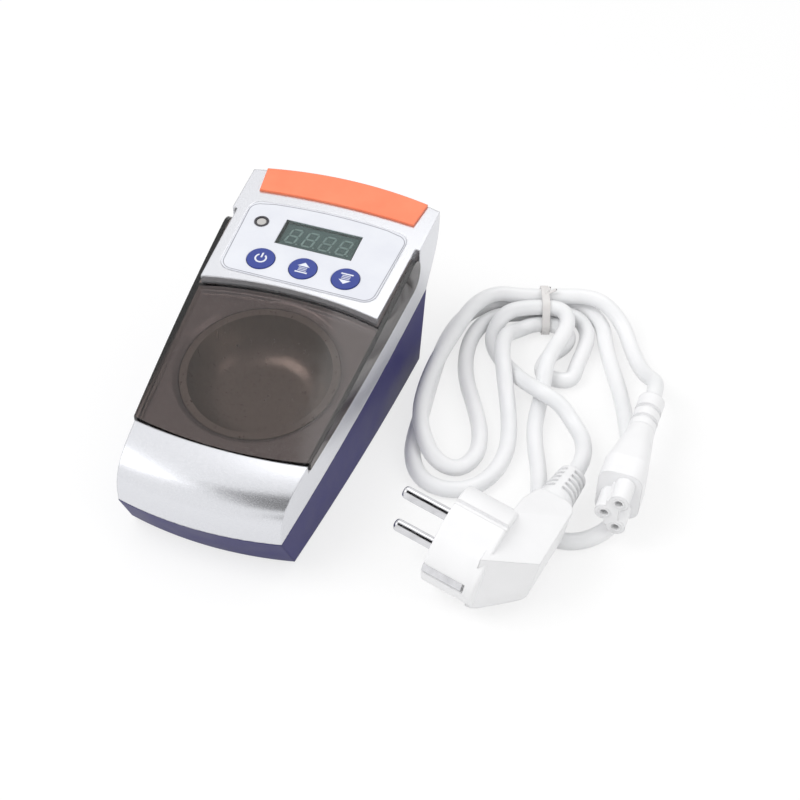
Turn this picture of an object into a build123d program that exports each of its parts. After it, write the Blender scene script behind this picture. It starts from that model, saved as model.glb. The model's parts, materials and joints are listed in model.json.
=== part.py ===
from build123d import *
import os
from math import cos, pi, radians, sin, tan

# Small mains-powered wax heater for a dental bench: a wedge-shaped housing in two shells, a shallow
# wax pot under a smoked hinged lid, and a control panel behind the pot. Its mains lead lies beside it.
# X runs across, Y from the nose to the rear, Z up. The origin is under the middle of the housing,
# on the bench. All lengths are in millimetres, all slopes in degrees.

os.makedirs("parts", exist_ok=True)

# ---------------------------------------------------------------- driving dimensions
body_length = 156.0        # nose to rear crown
front_half = 31.4          # half width at the nose
side_bow = 1.8             # the side walls bow out by this much half way along
rear_half = 39.6           # half width at the rear
wall = 2.2                 # moulded shell wall
floor_thickness = 2.4
foot_height = 2.0          # rubber feet lift the base by this much
foot_diameter = 9.0
foot_sink = 1.0            # depth of the feet's seats in the floor
edge_round = 0.6           # small rounding of feet and mouldings
vent_length = 30.0         # slots in the floor under the pot
vent_width = 2.2
vent_pitch = 6.0
vent_count = 6

nose_radius = 145.0        # plan radius of the nose
crown_radius = 163.0       # plan radius of the rear
nose_height = 20.0         # parting line at the nose
nose_upright = 4.0         # upright band of the apron above the parting line
brow_rise = 12.0           # the apron's curve starts upright for this height
brow_ease = (9.5, 2.2)     # where it has nearly turned flat, behind the nose and below the apron's top
chin_setback = 9.6         # how far the base tucks in under the nose
parting_slope = 6.2
apron_reach = 21.8         # nose to the front edge of the lid
apron_height = 40.1        # top of the apron at the lid
rear_foot = 19.0           # how far the base tucks in under the rear crown
rear_waist = 13.0          # the same at the parting line
crown_height = 60.0        # where the rear face turns upright
crown_rise = 12.0          # its curve ends upright over this height
waist_ease = (6.0, 8.0)    # how the curve leaves the waist, to the rear and up

lid_slope = 11.3
lid_thickness = 2.0
lid_gap = 0.5              # seen between the lid and the apron and panel
lid_proud = 0.6            # lid stands out from the side walls
lid_front_radius = 170.0   # plan radius of the lid's front edge
arm_clearance = 0.7        # between the lid's flanges and the housing
lid_step = 0.2             # lid's top above the apron's
ledge_drop = 3.1           # ledge under the lid's side flanges, below the apron at the front of the lid
ledge_slope = 5.0
flange_lift = 0.3          # lid flanges end this far above the ledge
deck_drop = 4.4            # lid top to the deck below it
hinge_back = 43.0          # hinge axis behind the middle
hinge_drop = 7.02          # and below the lid's top
arm_radius = 7.0           # round rear end of the lid's arms
arm_swing = 0.5            # room round the arms' ends
pin_diameter = 2.6
pin_running = 0.05         # radial clearance of the lid on its pins
pin_socket = 1.2           # depth of the sockets in the lid's arms
pin_boss_diameter = 7.0
pin_boss_length = 3.0

panel_slope = 6.3
panel_step = 2.813         # the panel's front edge stands above the lid's top
panel_front = 15.8         # front edge of the panel on the centre line
panel_hollow_radius = 157.0

pot_back = -17.0           # pot centre from the middle
rim_radius = 27.2          # pot mouth
pot_floor_radius = 14.0
pot_depth = 17.0
pot_wall = 1.4
pot_flange = 30.0          # radius of the pot's flange
pot_flange_thickness = 1.6
pot_fit = 0.3              # round the pot in its seat
well_radius = 32.4         # mouth of the dished ring round the pot
well_drop = 1.6
gasket_thickness = 0.6
seat_depth = 3.0           # collar of the deck below the gasket
heater_radius = 13.0
heater_thickness = 4.0
cup_radius = 31.0          # insulating cup round the pot
cup_wall = 2.0
sensor_diameter = 5.0
sensor_length = 9.0
sensor_sink = 1.0
cutoff_diameter = 14.0
cutoff_thickness = 6.0
cutoff_offset = -13.0      # towards the nose

button_diameter = 11.0
button_pitch = 17.4
button_back = 27.0         # button row behind the middle
button_proud = 0.5
button_clearance = 0.2
button_flange = 0.8        # rim that keeps the cap in
button_travel = 0.6
window_width = 31.6
window_depth = 13.4
window_back = 43.5
window_thickness = 2.0
window_sink = 0.1
lamp_diameter = 4.2
bezel_diameter = 5.8
lamp_side = -25.0
lamp_back = 46.0
label_thickness = 0.35
label_sink = 0.25
label_front = 18.0
label_back = 56.0
label_front_half = 31.6
label_rear_half = 33.0
label_bow = 2.6
label_corner = 5.0
label_clearance = 0.1
board_depth = 9.0          # panel surface to the control board
board_thickness = 1.6
board_half_width = 30.0
board_front = 20.0
board_back = 57.0
board_post = 5.0
board_screw = 2.2
switch_body = 6.0          # side of a tact switch
switch_height = 3.4
switch_plunger = 3.4       # diameter

bar_front = 62.0           # accent bar, front corners
bar_bow = 1.8              # how far its front edge bows to the rear
bar_front_half = 32.4
bar_rear_half = 34.8
bar_depth = 1.8            # sunk in the housing
bar_proud = 0.9
bar_clearance = 0.1

bay_back = 57.0            # flat bay for the inlet and switch in the rear of the base
bay_half_width = 31.0
bay_floor = 6.0
bay_roof = 30.5
inlet_side = 14.0
inlet_height = 18.2
inlet_width = 27.0
inlet_tall = 19.4
inlet_depth = 17.0
inlet_rim = 1.8
inlet_socket_depth = 13.0
contact_diameter = 2.4
contact_length = 20.0
contact_spread = 6.1       # live and neutral contacts either side of the middle
contact_row = 2.0          # their row below the middle of the inlet
earth_rise = 2.8           # earth contact above it
socket_lobe = 4.0          # radius of the socket round each contact
socket_web = 5.8           # height of the socket between its lobes
rocker_side = -17.0
rocker_width = 9.4
rocker_half_tall = 7.2
rocker_clearance = 0.3
rocker_pivot_depth = 3.2
rocker_axle = 2.4
rocker_swing = 9.0         # degrees each way
frame_width = 12.8
frame_tall = 18.8
frame_depth = 12.0
frame_rim = 1.2
frame_rim_thickness = 1.4

case_screw = 2.8
case_head = 5.4
boss_diameter = 7.0
front_boss = (20.0, -60.0)
rear_boss = (31.0, 30.0)
case_screw_grip = 8.0      # thread length in the cover
front_foot = (22.0, -46.0)
rear_foot_place = (30.0, 46.0)

transformer_size = (24.0, 13.0, 15.0)
transformer_place = (-10.0, 28.5)
relay_size = (19.0, 12.0, 9.0)
relay_place = (11.0, 9.0)
capacitor_diameter = 8.0
capacitor_height = 13.0
capacitor_places = ((9.0, 29.0), (18.5, 29.0))
fuse_size = (6.0, 22.0, 6.0)
fuse_place = (-17.0, 8.0)

power_board_top = 10.0
power_board_half_width = 24.0
power_board_front = -6.0
power_board_back = 36.0

cable_diameter = 6.5
gap_step = 2.0             # the lead's gap to itself is measured on points this far apart
gap_skip = 14.0            # and not between points nearer than this along it
bend_share = 0.45          # of the shorter run, taken up by each bend of the lead
connector_side = 137.0     # the lead's appliance connector lies beside the heater
connector_face = -17.3
connector_height = 18.2
connector_nose = 10.0
connector_grip = 10.0      # straight part of the grip
connector_taper = 25.0
connector_relief_length = 17.3
connector_grooves = (3.6, 9.4)   # where they start on the connector's relief
connector_wide = 16.5
connector_tall = 22.4
connector_corner = 5.0
connector_hole_depth = 13.0
hole_rim = 2.3             # outer radius of the raised rims round the connector's holes
hole_rim_proud = 0.3
hole_clearance = 0.3       # contacts in the connector's holes
groove_width = 1.6
groove_depth = 1.0
connector_neck = 10.4      # diameter of the grip's end
lobe_clearance = 0.4       # connector's nose in the inlet's socket
plug_place = (84.5, -50.2, 22.4)
plug_tilt = 10.0           # the plug lies on its flank, so its pins point up a little
plug_turn = 8.5            # and to the rear
plug_radius = 18.65
plug_disc_depth = 20.5
plug_plan = ((-15.5, 18.0), (-1.0, 35.5), (28.0, 35.5), (33.0, 33.0), (33.0, 20.5), (21.0, 18.0))
plug_flanks = ((-15.5, -18.0), (-10.5, -35.5), (10.5, -35.5), (15.5, -18.0))
plug_front = ((-17.0, -15.5), (10.0, -15.5), (33.0, -7.5), (33.0, 7.5), (10.0, 15.5), (-17.0, 15.5))
plug_corner = 4.0          # rounding of the body behind the disc
guide_width = 2.4          # guide grooves above and below the pins
guide_depth = 1.5
clip_slot = (2.2, 5.0)     # half depth and width of the slots of the earth clips
plug_pin_diameter = 4.8
plug_pin_length = 19.0
plug_pin_pitch = 19.0
plug_pin_root = 6.0
plug_pin_shank = 3.6       # thinner root of the pins inside the plug
plug_pin_round = 1.6
relief_length = 30.0
relief_base = 15.4         # diameters of the plug's strain relief
relief_tip = 11.4
relief_start = 1.8         # first pair of its slots from the tip
relief_pitch = 3.1
relief_slot = 1.5
relief_web = 3.0           # left between the slots of a pair
relief_core = 8.2          # diameter inside the slots
clip_depth = 15.5
clip_width = 4.4
clip_thickness = 0.8
clip_sink = 0.9            # earth clips lie this far inside the disc's flank
tie_place = (79.9, 96.7)
tie_turn = 20.6            # direction of the strands through the tie
tie_width = 3.2
tie_thickness = 1.0
tie_clearance = 0.2
strand_pitch = 7.1         # of the five strands in the tie, three below and two above
low_row = 4.5
high_row = 10.7

# ---------------------------------------------------------------- derived places
half_length = body_length / 2
nose_y = -half_length
crown_y = half_length
middle_half = (front_half + rear_half) / 2 + side_bow
nose_axis_y = nose_y + nose_radius
crown_axis_y = crown_y - crown_radius
lid_front_y = nose_y + apron_reach + lid_gap
lid_axis_y = lid_front_y + lid_front_radius
panel_axis_y = panel_front - panel_hollow_radius
riser_inset = lid_thickness + arm_clearance - lid_proud
floor_top = foot_height + floor_thickness
sky = 90.0


def slanted(y, z, slope):
    """A plane through (0, y, z) that rises to the rear by slope degrees."""
    up = (0, -sin(radians(slope)), cos(radians(slope)))
    return Plane(origin=(0, y, z), x_dir=(1, 0, 0), z_dir=up)


def height(plane, y):
    """Height of a slanted plane at y."""
    return plane.origin.Z - (y - plane.origin.Y) * plane.z_dir.Y / plane.z_dir.Z


def along(plane, y):
    """Distance along a slanted plane from its origin to y."""
    return (y - plane.origin.Y) / plane.z_dir.Z


parting = slanted(nose_y, nose_height, parting_slope)
lid_top = slanted(lid_front_y, apron_height + lid_step, lid_slope)
deck = slanted(lid_front_y, apron_height + lid_step - deck_drop, lid_slope)
ledge = slanted(lid_front_y, apron_height - ledge_drop, ledge_slope)
panel = slanted(panel_front, height(lid_top, panel_front) + panel_step, panel_slope)
hinge_height = height(lid_top, hinge_back) - hinge_drop
pot_place = slanted(pot_back, height(deck, pot_back), lid_slope)


def side_half(y, inset):
    """Half width of the bowed housing at y, moved in by inset."""
    rear = rear_half - middle_half
    front = front_half - middle_half
    share = y / half_length
    return middle_half - inset + share * (rear - front) / 2 + share * share * (rear + front) / 2


def side_slab(inset):
    """Everything between the bowed side walls, moved in by inset."""
    with BuildPart() as slab:
        with BuildSketch():
            with BuildLine():
                left = ThreePointArc(
                    (inset - front_half, nose_y), (inset - middle_half, 0), (inset - rear_half, crown_y)
                )
                right = ThreePointArc(
                    (front_half - inset, nose_y), (middle_half - inset, 0), (rear_half - inset, crown_y)
                )
                Polyline(left @ 0, left @ 0 - (0, 5), right @ 0 - (0, 5), right @ 0)
                Polyline(left @ 1, left @ 1 + (0, 5), right @ 1 + (0, 5), right @ 1)
            make_face()
        extrude(amount=sky)
    return slab.part


def nose_form(inset):
    """Solid of revolution whose outside is the chin and the apron, moved in by inset."""
    start = nose_y + inset
    band_top = nose_height + nose_upright
    with BuildPart() as form:
        with BuildSketch(Plane.YZ):
            with BuildLine():
                chin = Line((start + chin_setback, 0), (start, nose_height))
                band = Line(chin @ 1, (start, band_top))
                brow = Bezier(
                    band @ 1,
                    (start, band_top + brow_rise - inset),
                    (nose_y + brow_ease[0], apron_height - brow_ease[1] - inset),
                    (nose_y + apron_reach, apron_height - inset),
                )
                Polyline(brow @ 1, (nose_axis_y, sky), (nose_axis_y, 0), chin @ 0)
            make_face()
        revolve(axis=Axis((0, nose_axis_y, 0), (0, 0, 1)))
    return form.part


def crown_form(inset):
    """Solid of revolution whose outside is the rear face, moved in by inset."""
    start = crown_y - inset
    waist_height = height(parting, crown_y - rear_waist)
    with BuildPart() as form:
        with BuildSketch(Plane.YZ):
            with BuildLine():
                back = Line((start - rear_foot, 0), (start - rear_waist, waist_height))
                flare = Bezier(
                    back @ 1,
                    (start - rear_waist + waist_ease[0], waist_height + waist_ease[1]),
                    (start, crown_height - crown_rise),
                    (start, crown_height),
                )
                Polyline(flare @ 1, (start, sky), (crown_axis_y, sky), (crown_axis_y, 0), back @ 0)
            make_face()
        revolve(axis=Axis((0, crown_axis_y, 0), (0, 0, 1)))
    return form.part


def housing(inset):
    """The whole outer form, moved in by inset."""
    with BuildPart() as form:
        add(side_slab(inset))
        add(nose_form(inset), mode=Mode.INTERSECT)
        add(crown_form(inset), mode=Mode.INTERSECT)
    return form.part


def lid_area(grow):
    """Upright block over the lid's outline between the apron and the panel, grown by grow."""
    with BuildPart() as block:
        with BuildSketch():
            with Locations((0, lid_axis_y)):
                Circle(lid_front_radius + grow)
            with Locations((0, panel_axis_y)):
                Circle(panel_hollow_radius - lid_gap + grow, mode=Mode.INTERSECT)
        extrude(amount=sky)
    return block.part


def arm_profile(radius, floor_plane, reach):
    """Side view of the lid's flanges and round-ended arms as a block right across, above floor_plane.

    Over the hinge axis the block is open upwards as far as reach behind it.
    """
    with BuildPart() as block:
        with BuildSketch(Plane.YZ):
            with BuildLine():
                Polyline(
                    (nose_y, height(floor_plane, nose_y)),
                    (hinge_back, height(floor_plane, hinge_back)),
                    (hinge_back + reach, hinge_height),
                    (hinge_back + reach, sky),
                    (nose_y, sky),
                    close=True,
                )
            make_face()
            with Locations((hinge_back, hinge_height)):
                Circle(radius)
        extrude(amount=middle_half + rear_half, both=True)
    return block.part


def label_form(grow, depth):
    """The panel label's outline as a slab from label_sink above its seat, depth thick."""
    with BuildPart() as form:
        with BuildSketch(panel.offset(-label_sink)):
            with BuildLine():
                top_edge = ThreePointArc(
                    (-label_rear_half - grow, along(panel, label_back + grow)),
                    (0, along(panel, label_back + label_bow + grow)),
                    (label_rear_half + grow, along(panel, label_back + grow)),
                )
                Polyline(
                    top_edge @ 1,
                    (label_front_half + grow, along(panel, label_front - grow)),
                    (-label_front_half - grow, along(panel, label_front - grow)),
                    top_edge @ 0,
                )
            label_face = make_face()
            fillet(label_face.vertices(), label_corner)
        extrude(amount=depth)
    return form.part


def finish(piece, name):
    """Label one finished piece and write it."""
    piece.label = name
    export_step(piece, "parts/" + name + ".step")
    return piece


outer_form = housing(0)
inner_form = housing(wall)
riser_form = housing(riser_inset + wall)
boss_places = [(side * x, y) for x, y in (front_boss, rear_boss) for side in (-1, 1)]
foot_places = [(side * x, y) for x, y in (front_foot, rear_foot_place) for side in (-1, 1)]
inlet_place = Plane(origin=(inlet_side, bay_back, inlet_height), x_dir=(1, 0, 0), z_dir=(0, 1, 0))
rocker_place = Plane(origin=(rocker_side, bay_back, inlet_height), x_dir=(1, 0, 0), z_dir=(0, 1, 0))
board_posts = [
    (side * (board_half_width - 3), along(panel, y))
    for side in (-1, 1)
    for y in (board_front + 3, board_back - 3)
]
power_posts = [
    (side * (power_board_half_width - 3), y)
    for side in (-1, 1)
    for y in (power_board_front + 3, power_board_back - 3)
]

# ---------------------------------------------------------------- base shell
with BuildPart() as bay_block:
    with BuildSketch(Plane.XZ.offset(-bay_back)):
        with Locations((0, (bay_floor + bay_roof) / 2)):
            RectangleRounded(2 * bay_half_width, bay_roof - bay_floor, 2.5)
    extrude(amount=-half_length)

with BuildPart() as base_cavity:
    add(inner_form)
    split(bisect_by=Plane.XY.offset(floor_top), keep=Keep.TOP)
    with BuildSketch(Plane.XZ.offset(wall - bay_back)):
        with Locations((0, (bay_floor + bay_roof) / 2)):
            Rectangle(2 * (bay_half_width + wall), bay_roof - bay_floor + 2 * wall)
    extrude(amount=-half_length, mode=Mode.SUBTRACT)

with BuildPart() as base_shell:
    add(outer_form)
    split(bisect_by=parting, keep=Keep.BOTTOM)
    split(bisect_by=Plane.XY.offset(foot_height), keep=Keep.TOP)
    add(bay_block.part, mode=Mode.SUBTRACT)
    add(base_cavity.part, mode=Mode.SUBTRACT)
    with BuildSketch(Plane.XY.offset(floor_top)):
        with Locations(*boss_places):
            Circle(boss_diameter / 2)
    extrude(amount=height(parting, rear_boss[1]) - floor_top)
    with BuildSketch(Plane.XY.offset(floor_top)):
        with Locations(*power_posts):
            Circle(2.5)
    extrude(amount=power_board_top - board_thickness - floor_top)
    split(bisect_by=parting, keep=Keep.BOTTOM)
    with BuildSketch(Plane.XY.offset(foot_height)):
        with Locations(*boss_places):
            Circle(case_screw / 2)
    extrude(amount=sky, mode=Mode.SUBTRACT)
    with BuildSketch(Plane.XY.offset(foot_height)):
        with Locations(*boss_places):
            Circle(case_head / 2 + 0.3)
    extrude(amount=3.0, mode=Mode.SUBTRACT)
    with BuildSketch(Plane.XY.offset(foot_height)):
        with Locations(*foot_places):
            Circle(foot_diameter / 2)
    extrude(amount=foot_sink, mode=Mode.SUBTRACT)
    with BuildSketch(Plane.XY.offset(foot_height)):
        with Locations((0, pot_back)):
            with GridLocations(0, vent_pitch, 1, vent_count):
                SlotOverall(vent_length, vent_width)
    extrude(amount=floor_thickness, mode=Mode.SUBTRACT)
    with BuildSketch(inlet_place):
        Rectangle(inlet_width, inlet_tall)
    extrude(amount=-wall, mode=Mode.SUBTRACT)
    with BuildSketch(rocker_place):
        Rectangle(frame_width, frame_tall)
    extrude(amount=-wall, mode=Mode.SUBTRACT)

finish(base_shell.part, "base_shell")
print("base", base_shell.part.volume, base_shell.part.is_valid, len(base_shell.part.solids()))

# ---------------------------------------------------------------- top cover
with BuildPart() as low_cavity:
    add(inner_form)
    split(bisect_by=ledge.offset(-wall), keep=Keep.BOTTOM)
    split(bisect_by=deck.offset(-wall), keep=Keep.BOTTOM)

with BuildPart() as deck_cavity:
    add(riser_form)
    split(bisect_by=deck.offset(-wall), keep=Keep.BOTTOM)

with BuildPart() as panel_cavity:
    add(riser_form)
    split(bisect_by=panel.offset(-wall), keep=Keep.BOTTOM)
    with BuildSketch():
        with Locations((0, panel_axis_y)):
            Circle(panel_hollow_radius + wall)
    extrude(amount=sky, mode=Mode.SUBTRACT)
    split(bisect_by=Plane.XZ.offset(wall - bar_front), keep=Keep.TOP)

with BuildPart() as rear_cavity:
    add(inner_form)
    split(bisect_by=panel.offset(-wall - bar_depth), keep=Keep.BOTTOM)
    split(bisect_by=Plane.XZ.offset(-hinge_back - arm_radius - arm_swing - wall), keep=Keep.BOTTOM)

with BuildPart() as bar_form:
    with BuildSketch(panel.offset(-bar_depth)):
        with BuildLine():
            front_edge = ThreePointArc(
                (-bar_front_half, along(panel, bar_front)),
                (0, along(panel, bar_front + bar_bow)),
                (bar_front_half, along(panel, bar_front)),
            )
            Polyline(
                front_edge @ 1,
                (bar_rear_half, along(panel, crown_y + 2)),
                (-bar_rear_half, along(panel, crown_y + 2)),
                front_edge @ 0,
            )
        make_face()
    extrude(amount=bar_depth + bar_proud)

with BuildPart() as side_recess:
    add(arm_profile(arm_radius + arm_swing, ledge, arm_radius + arm_swing))
    add(side_slab(riser_inset), mode=Mode.SUBTRACT)
    with BuildSketch():
        with Locations((0, lid_axis_y)):
            Circle(lid_front_radius + lid_gap)
    extrude(amount=sky, mode=Mode.INTERSECT)

with BuildPart() as lid_recess:
    add(lid_area(lid_gap))
    split(bisect_by=deck, keep=Keep.TOP)

pot_hole = rim_radius + pot_wall + pot_fit
flange_base = well_drop + pot_flange_thickness
collar_base = flange_base + gasket_thickness + seat_depth
pot_base = well_drop + pot_depth + pot_wall
cup_base = pot_base + heater_thickness + cup_wall
pin_start = side_half(hinge_back, riser_inset + wall) - pin_boss_length
pin_end = side_half(hinge_back, lid_thickness - lid_proud) + pin_socket - 0.1
button_places = [(x * button_pitch, along(panel, button_back)) for x in (-1, 0, 1)]
window_place = (0, along(panel, window_back))
lamp_place = (lamp_side, along(panel, lamp_back))

with BuildPart() as cover_bosses:
    with BuildSketch(Plane.XY.offset(nose_height)):
        with Locations(*boss_places):
            Circle(boss_diameter / 2)
    extrude(amount=sky)
    add(outer_form, mode=Mode.INTERSECT)
    split(bisect_by=parting, keep=Keep.TOP)

with BuildPart() as pot_collar:
    with BuildSketch(pot_place.offset(-collar_base)):
        Circle(well_radius + 0.8)
    extrude(amount=collar_base - wall / 2)
    add(riser_form, mode=Mode.INTERSECT)

with BuildPart() as top_cover:
    add(outer_form)
    split(bisect_by=parting, keep=Keep.TOP)
    add(low_cavity.part, mode=Mode.SUBTRACT)
    add(deck_cavity.part, mode=Mode.SUBTRACT)
    add(panel_cavity.part, mode=Mode.SUBTRACT)
    add(rear_cavity.part, mode=Mode.SUBTRACT)
    add(cover_bosses.part)
    add(pot_collar.part)
    for side in (-1, 1):
        with BuildSketch(Plane.YZ.offset(side * pin_start)):
            with Locations((hinge_back, hinge_height)):
                Circle(pin_boss_diameter / 2)
        extrude(amount=side * (pin_boss_length + wall / 2))
    with BuildSketch(panel.offset(-board_depth)):
        with Locations(*board_posts):
            Circle(board_post / 2)
    extrude(amount=board_depth - wall / 2)
    split(bisect_by=panel, keep=Keep.BOTTOM)
    add(lid_recess.part, mode=Mode.SUBTRACT)
    add(side_recess.part, mode=Mode.SUBTRACT)
    add(bar_form.part, mode=Mode.SUBTRACT)
    for side in (-1, 1):
        with BuildSketch(Plane.YZ.offset(side * pin_start)):
            with Locations((hinge_back, hinge_height)):
                Circle(pin_diameter / 2)
        extrude(amount=side * 2 * pin_boss_length, mode=Mode.SUBTRACT)
    with BuildSketch(Plane.XY.offset(nose_height)):
        with Locations(*boss_places[:2]):
            Circle(case_screw / 2)
    extrude(amount=height(parting, front_boss[1]) - nose_height + case_screw_grip, mode=Mode.SUBTRACT)
    with BuildSketch(Plane.XY.offset(nose_height)):
        with Locations(*boss_places[2:]):
            Circle(case_screw / 2)
    extrude(amount=height(parting, rear_boss[1]) - nose_height + case_screw_grip, mode=Mode.SUBTRACT)
    with BuildSketch(pot_place):
        Circle(well_radius)
    with BuildSketch(pot_place.offset(-well_drop)):
        Circle(pot_flange + pot_fit)
    loft(ruled=True, mode=Mode.SUBTRACT)
    with BuildSketch(pot_place.offset(-well_drop)):
        Circle(pot_flange + pot_fit)
    extrude(amount=well_drop - flange_base - gasket_thickness, mode=Mode.SUBTRACT)
    with BuildSketch(pot_place):
        Circle(pot_hole)
    extrude(amount=-collar_base, mode=Mode.SUBTRACT)
    with BuildSketch(panel):
        with Locations(*button_places):
            Circle(button_diameter / 2 + button_clearance)
        with Locations(window_place):
            Rectangle(window_width + 2 * label_clearance, window_depth + 2 * label_clearance)
        with Locations(lamp_place):
            Circle(bezel_diameter / 2)
    extrude(amount=-wall, mode=Mode.SUBTRACT)
    with BuildSketch(panel.offset(-board_depth)):
        with Locations(*board_posts):
            Circle(board_screw / 2)
    extrude(amount=board_depth - wall, mode=Mode.SUBTRACT)
    add(label_form(label_clearance, label_sink), mode=Mode.SUBTRACT)

finish(top_cover.part, "top_cover")
print("cover", top_cover.part.volume, top_cover.part.is_valid, len(top_cover.part.solids()))

# ---------------------------------------------------------------- accent bar and panel label
with BuildPart() as accent_bar:
    add(bar_form.part)
    add(outer_form, mode=Mode.INTERSECT)

finish(accent_bar.part, "accent_bar")

with BuildPart() as panel_label:
    add(label_form(0, label_thickness))
    with BuildSketch(panel):
        with Locations(*button_places):
            Circle(button_diameter / 2 + button_clearance)
        with Locations(window_place):
            Rectangle(window_width + 2 * label_clearance, window_depth + 2 * label_clearance)
        with Locations(lamp_place):
            Circle(bezel_diameter / 2)
    extrude(amount=wall, both=True, mode=Mode.SUBTRACT)

finish(panel_label.part, "panel_label")

# ---------------------------------------------------------------- smoked lid and its pins
with BuildPart() as lid_hollow:
    add(side_slab(lid_thickness - lid_proud))
    split(bisect_by=lid_top.offset(-lid_thickness), keep=Keep.BOTTOM)

with BuildPart() as panel_room:
    add(side_slab(lid_thickness - lid_proud))
    with BuildSketch():
        with Locations((0, panel_axis_y)):
            Circle(panel_hollow_radius - lid_gap)
    extrude(amount=sky, mode=Mode.SUBTRACT)
    split(bisect_by=Plane.XZ.offset(half_length / 2), keep=Keep.BOTTOM)

with BuildPart() as smoked_lid:
    add(side_slab(-lid_proud))
    with BuildSketch():
        with Locations((0, lid_axis_y)):
            Circle(lid_front_radius)
    extrude(amount=sky, mode=Mode.INTERSECT)
    split(bisect_by=lid_top, keep=Keep.BOTTOM)
    add(arm_profile(arm_radius, ledge.offset(flange_lift), 0), mode=Mode.INTERSECT)
    add(lid_hollow.part, mode=Mode.SUBTRACT)
    add(panel_room.part, mode=Mode.SUBTRACT)
    for side in (-1, 1):
        with BuildSketch(Plane.YZ.offset(side * pin_start)):
            with Locations((hinge_back, hinge_height)):
                Circle(pin_diameter / 2 + pin_running)
        extrude(amount=side * (pin_end + 0.1 - pin_start), mode=Mode.SUBTRACT)

finish(smoked_lid.part, "smoked_lid")
print("lid", smoked_lid.part.volume, smoked_lid.part.is_valid, len(smoked_lid.part.solids()))

for side, name in ((-1, "hinge_pin_left"), (1, "hinge_pin_right")):
    with BuildPart() as hinge_pin:
        with BuildSketch(Plane.YZ.offset(side * pin_start)):
            with Locations((hinge_back, hinge_height)):
                Circle(pin_diameter / 2)
        extrude(amount=side * (pin_end - pin_start))
    finish(hinge_pin.part, name)

# ---------------------------------------------------------------- wax pot and heater
with BuildPart() as wax_pot:
    with BuildSketch(Plane.XZ):
        with BuildLine():
            mouth = (rim_radius, -well_drop)
            inside = Bezier(
                mouth,
                (rim_radius - 0.4, -well_drop - pot_depth / 2),
                (pot_floor_radius + 8.5, -well_drop - pot_depth),
                (pot_floor_radius, -well_drop - pot_depth),
            )
            outside = Bezier(
                (pot_floor_radius, -pot_base),
                (pot_floor_radius + 9.5, -pot_base),
                (rim_radius + pot_wall - 0.4, -pot_base + pot_depth / 2),
                (rim_radius + pot_wall, -flange_base),
            )
            Polyline(inside @ 1, (0, -well_drop - pot_depth), (0, -pot_base), outside @ 0)
            Polyline(outside @ 1, (pot_flange, -flange_base), (pot_flange, -well_drop), mouth)
        make_face()
    revolve(axis=Axis.Z)

finish(pot_place * wax_pot.part, "wax_pot")

with BuildPart() as pot_gasket:
    with BuildSketch(pot_place.offset(-flange_base - gasket_thickness)):
        Circle(pot_flange)
        Circle(pot_hole, mode=Mode.SUBTRACT)
    extrude(amount=gasket_thickness)

finish(pot_gasket.part, "pot_gasket")

with BuildPart() as heater_plate:
    with BuildSketch(pot_place.offset(-pot_base - heater_thickness)):
        Circle(heater_radius)
    extrude(amount=heater_thickness)
    with BuildSketch(pot_place.offset(-pot_base - heater_thickness)):
        Circle(sensor_diameter / 2)
    extrude(amount=sensor_sink, mode=Mode.SUBTRACT)

finish(heater_plate.part, "heater_plate")

with BuildPart() as insulation_cup:
    with BuildSketch(pot_place.offset(-cup_base)):
        Circle(cup_radius)
    extrude(amount=cup_base - collar_base)
    with BuildSketch(pot_place.offset(-cup_base + cup_wall)):
        Circle(cup_radius - cup_wall)
    extrude(amount=cup_base, mode=Mode.SUBTRACT)
    with BuildSketch(pot_place.offset(-cup_base)):
        Circle(sensor_diameter / 2)
    extrude(amount=cup_wall, mode=Mode.SUBTRACT)

finish(insulation_cup.part, "insulation_cup")

with BuildPart() as temperature_sensor:
    with BuildSketch(pot_place.offset(-pot_base - heater_thickness + sensor_sink)):
        Circle(sensor_diameter / 2)
    extrude(amount=-sensor_length)

finish(temperature_sensor.part, "temperature_sensor")

with BuildPart() as thermal_cutoff:
    with BuildSketch(pot_place.offset(-cup_base)):
        with Locations((0, cutoff_offset)):
            Circle(cutoff_diameter / 2)
    extrude(amount=-cutoff_thickness)

finish(thermal_cutoff.part, "thermal_cutoff")

# ---------------------------------------------------------------- control panel
with BuildPart() as display_window:
    with BuildSketch(panel.offset(-window_sink)):
        with Locations(window_place):
            Rectangle(window_width, window_depth)
    extrude(amount=-window_thickness)

finish(display_window.part, "display_window")

with BuildPart() as digit_display:
    with BuildSketch(panel.offset(-window_sink - window_thickness)):
        with Locations(window_place):
            Rectangle(window_width - 1.5, window_depth - 0.8)
    extrude(amount=window_sink + window_thickness - board_depth)

finish(digit_display.part, "digit_display")

with BuildPart() as control_board:
    with BuildSketch(panel.offset(-board_depth)):
        with Locations((0, along(panel, (board_front + board_back) / 2))):
            Rectangle(2 * board_half_width, board_back - board_front)
        with Locations(*board_posts):
            Circle(board_screw / 2, mode=Mode.SUBTRACT)
    extrude(amount=-board_thickness)
    with BuildSketch():
        with Locations(*boss_places):
            Circle(boss_diameter / 2 + 0.7)
    extrude(amount=sky, mode=Mode.SUBTRACT)

finish(control_board.part, "control_board")

with BuildPart() as board_screws:
    with BuildSketch(panel.offset(-board_depth - board_thickness)):
        with Locations(*board_posts):
            Circle(board_screw)
    extrude(amount=-1.4)
    with BuildSketch(panel.offset(-board_depth - board_thickness)):
        with Locations(*board_posts):
            Circle(board_screw / 2)
    extrude(amount=board_thickness + 5)

finish(board_screws.part, "board_screws")

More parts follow.
